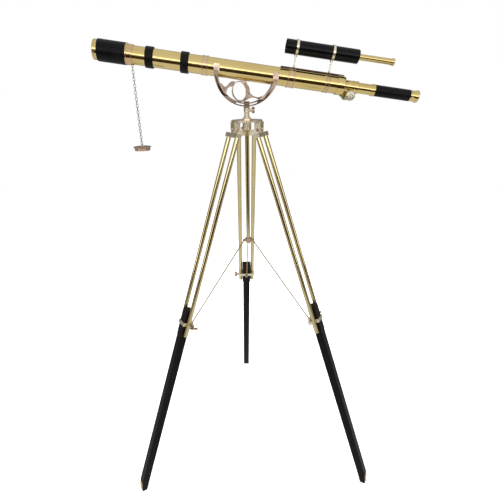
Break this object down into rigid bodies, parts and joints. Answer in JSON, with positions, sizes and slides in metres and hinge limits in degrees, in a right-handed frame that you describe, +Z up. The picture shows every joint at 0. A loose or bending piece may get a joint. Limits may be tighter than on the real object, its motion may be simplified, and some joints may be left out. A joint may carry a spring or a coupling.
{
  "type": "telescope on tripod",
  "caption": "Polished brass refracting telescope with a finder scope, black leather wraps and a hanging lens cap, on a tripod with brass upper legs and black wooden lower legs.",
  "frame": {"origin": "on the ground, under the middle of the object's footprint, so the tripod's column stands at X -0.0365, Y -0.1279", "axes": "+Z up; -X towards the object glass and +X towards the eyepiece; +Y towards the rear leg"},
  "size_m": [1.0106, 0.8138, 1.6184],
  "materials": {
    "polished_brass": "polished",
    "satin_brass": "satin",
    "stay_brass": "satin",
    "black_leather": "grained",
    "black_wood": "satin",
    "black_enamel": "satin",
    "dark_bronze": "satin",
    "lens_glass": "clear"
  },
  "bodies": {
    "tripod_head": {"tripod_hub": "polished_brass", "leg_hinge_bolts": "satin_brass", "centre_column": "polished_brass", "column_end_nut": "polished_brass", "post": "polished_brass"},
    "collar": {"stay_collar": "satin_brass"},
    "post_screw": {"post_wing_screw": "satin_brass"},
    "fork_head": {"fork_head": "polished_brass", "fork_bolt": "satin_brass"},
    "telescope": {"quadrant_bracket": "satin_brass", "bracket_screws": "satin_brass", "main_barrel": "polished_brass", "dew_cap": "polished_brass", "dew_cap_leather": "black_leather", "objective_cell": "polished_brass", "objective_lens": "lens_glass", "leather_bands": "black_leather", "front_barrel_ring": "polished_brass", "middle_barrel_ring": "polished_brass", "rear_barrel_ring": "polished_brass", "tail_piece": "polished_brass", "finder_rail": "dark_bronze", "finder_front_mount": "polished_brass", "finder_rear_mount": "polished_brass", "finder_body": "black_enamel", "finder_objective": "lens_glass"},
    "focus_sleeve": {"focus_sleeve": "polished_brass", "focus_rack": "polished_brass"},
    "focus_pinion": {"focus_pinion": "polished_brass", "focus_knobs": "polished_brass"},
    "eyepiece": {"eyepiece_tube": "polished_brass", "eyepiece_leather": "black_leather", "eye_cup": "polished_brass", "eyepiece_lens": "lens_glass"},
    "finder_drawtube": {"finder_drawtube": "polished_brass", "finder_eye_lens": "lens_glass"},
    "chain_upper": {"chain_upper": "satin_brass"},
    "chain_lower": {"chain_lower": "satin_brass"},
    "lens_cap": {"lens_cap": "satin_brass"},
    "upper_leg_rear": {"leg_head_rear": "polished_brass", "leg_tubes_rear": "polished_brass", "leg_clamp_rear": "satin_brass"},
    "lower_leg_rear": {"lower_leg_rear": "black_wood", "toe_plate_rear": "polished_brass"},
    "clamp_screw_rear": {"leg_wing_screw_rear": "satin_brass"},
    "stay_rear": {"stay_rear": "stay_brass"},
    "upper_leg_left": {"leg_head_left": "polished_brass", "leg_tubes_left": "polished_brass", "leg_clamp_left": "satin_brass"},
    "lower_leg_left": {"lower_leg_left": "black_wood", "toe_plate_left": "polished_brass"},
    "clamp_screw_left": {"leg_wing_screw_left": "satin_brass"},
    "stay_left": {"stay_left": "stay_brass"},
    "upper_leg_right": {"leg_head_right": "polished_brass", "leg_tubes_right": "polished_brass", "leg_clamp_right": "satin_brass"},
    "lower_leg_right": {"lower_leg_right": "black_wood", "toe_plate_right": "polished_brass"},
    "clamp_screw_right": {"leg_wing_screw_right": "satin_brass"},
    "stay_right": {"stay_right": "stay_brass"}
  },
  "joints": [
    {"name": "leg_hinge_rear", "type": "hinge", "parent": "tripod_head", "child": "upper_leg_rear", "pos_m": [-0.0365, -0.0819, 1.3565], "axis": [-1, 0, 0], "range_deg": [0, 8]},
    {"name": "leg_slide_rear", "type": "slide", "parent": "upper_leg_rear", "child": "lower_leg_rear", "axis": [0, 0.3355, -0.9421], "range_m": [-0.5, 0]},
    {"name": "clamp_screw_rear", "type": "hinge", "parent": "upper_leg_rear", "child": "clamp_screw_rear", "pos_m": [-0.0365, 0.13584, 0.71221], "axis": [-1, 0, 0], "range_deg": [-180, 180]},
    {"name": "stay_hinge_rear", "type": "hinge", "parent": "collar", "child": "stay_rear", "pos_m": [-0.0365, -0.1099, 0.9783], "axis": [-1, 0, 0], "range_deg": [0, 17.9]},
    {"name": "leg_hinge_left", "type": "hinge", "parent": "tripod_head", "child": "upper_leg_left", "pos_m": [-0.07634, -0.1509, 1.3565], "axis": [0.5, -0.866, 0], "range_deg": [0, 8]},
    {"name": "leg_slide_left", "type": "slide", "parent": "upper_leg_left", "child": "lower_leg_left", "axis": [-0.2905, -0.1677, -0.9421], "range_m": [-0.5, 0]},
    {"name": "clamp_screw_left", "type": "hinge", "parent": "upper_leg_left", "child": "clamp_screw_left", "pos_m": [-0.26491, -0.25977, 0.71221], "axis": [0.5, -0.866, 0], "range_deg": [-180, 180]},
    {"name": "stay_hinge_left", "type": "hinge", "parent": "collar", "child": "stay_left", "pos_m": [-0.05209, -0.1369, 0.9783], "axis": [0.5, -0.866, 0], "range_deg": [0, 17.9]},
    {"name": "leg_hinge_right", "type": "hinge", "parent": "tripod_head", "child": "upper_leg_right", "pos_m": [0.00334, -0.1509, 1.3565], "axis": [0.5, 0.866, 0], "range_deg": [0, 8]},
    {"name": "leg_slide_right", "type": "slide", "parent": "upper_leg_right", "child": "lower_leg_right", "axis": [0.2905, -0.1677, -0.9421], "range_m": [-0.5, 0]},
    {"name": "clamp_screw_right", "type": "hinge", "parent": "upper_leg_right", "child": "clamp_screw_right", "pos_m": [0.19191, -0.25977, 0.71221], "axis": [0.5, 0.866, 0], "range_deg": [-180, 180]},
    {"name": "stay_hinge_right", "type": "hinge", "parent": "collar", "child": "stay_right", "pos_m": [-0.02091, -0.1369, 0.9783], "axis": [0.5, 0.866, 0], "range_deg": [0, 17.9]},
    {"name": "collar_slide", "type": "slide", "parent": "tripod_head", "child": "collar", "axis": [0, 0, 1], "range_m": [0, 0.0369]},
    {"name": "post_screw_turn", "type": "hinge", "parent": "tripod_head", "child": "post_screw", "pos_m": [-0.0365, -0.1279, 1.41345], "axis": [1, 0, 0], "range_deg": [-180, 180]},
    {"name": "azimuth", "type": "hinge", "parent": "tripod_head", "child": "fork_head", "pos_m": [-0.0365, -0.1279, 1.41], "axis": [0, 0, 1], "continuous": true},
    {"name": "altitude", "type": "hinge", "parent": "fork_head", "child": "telescope", "pos_m": [-0.0365, -0.1279, 1.522], "axis": [0, 1, 0], "range_deg": [-18, 18]},
    {"name": "focus_slide", "type": "slide", "parent": "telescope", "child": "focus_sleeve", "axis": [0.9886, 0, -0.1506], "range_m": [-0.024, 0.03]},
    {"name": "focus_pinion_turn", "type": "hinge", "parent": "telescope", "child": "focus_pinion", "pos_m": [0.28102, -0.1279, 1.44825], "axis": [0, 1, 0], "range_deg": [-247, 308]},
    {"name": "eyepiece_slide", "type": "slide", "parent": "focus_sleeve", "child": "eyepiece", "axis": [0.9886, 0, -0.1506], "range_m": [-0.038, 0.045]},
    {"name": "finder_draw_slide", "type": "slide", "parent": "telescope", "child": "finder_drawtube", "axis": [0.9886, 0, -0.1506], "range_m": [-0.07, 0.03]},
    {"name": "chain_top_swing", "type": "hinge", "parent": "telescope", "child": "chain_upper", "pos_m": [-0.38005, -0.1279, 1.54368], "axis": [0, 1, 0], "range_deg": [-35, 35]},
    {"name": "chain_middle_swing", "type": "hinge", "parent": "chain_upper", "child": "chain_lower", "pos_m": [-0.38005, -0.1279, 1.42925], "axis": [1, 0, 0], "range_deg": [-30, 30]},
    {"name": "lens_cap_swing", "type": "hinge", "parent": "chain_lower", "child": "lens_cap", "pos_m": [-0.38005, -0.1279, 1.31718], "axis": [0, 1, 0], "range_deg": [-25, 25]}
  ],
  "couplings": [
    {"joint": "stay_hinge_rear", "follows": "leg_hinge_rear", "ratio": 2.214},
    {"joint": "leg_hinge_left", "follows": "leg_hinge_rear", "ratio": 1},
    {"joint": "stay_hinge_left", "follows": "leg_hinge_rear", "ratio": 2.214},
    {"joint": "leg_hinge_right", "follows": "leg_hinge_rear", "ratio": 1},
    {"joint": "stay_hinge_right", "follows": "leg_hinge_rear", "ratio": 2.214},
    {"joint": "collar_slide", "follows": "leg_hinge_rear", "m_per_rad": 0.263},
    {"joint": "focus_pinion_turn", "follows": "focus_slide", "rad_per_m": 178.57}
  ]
}
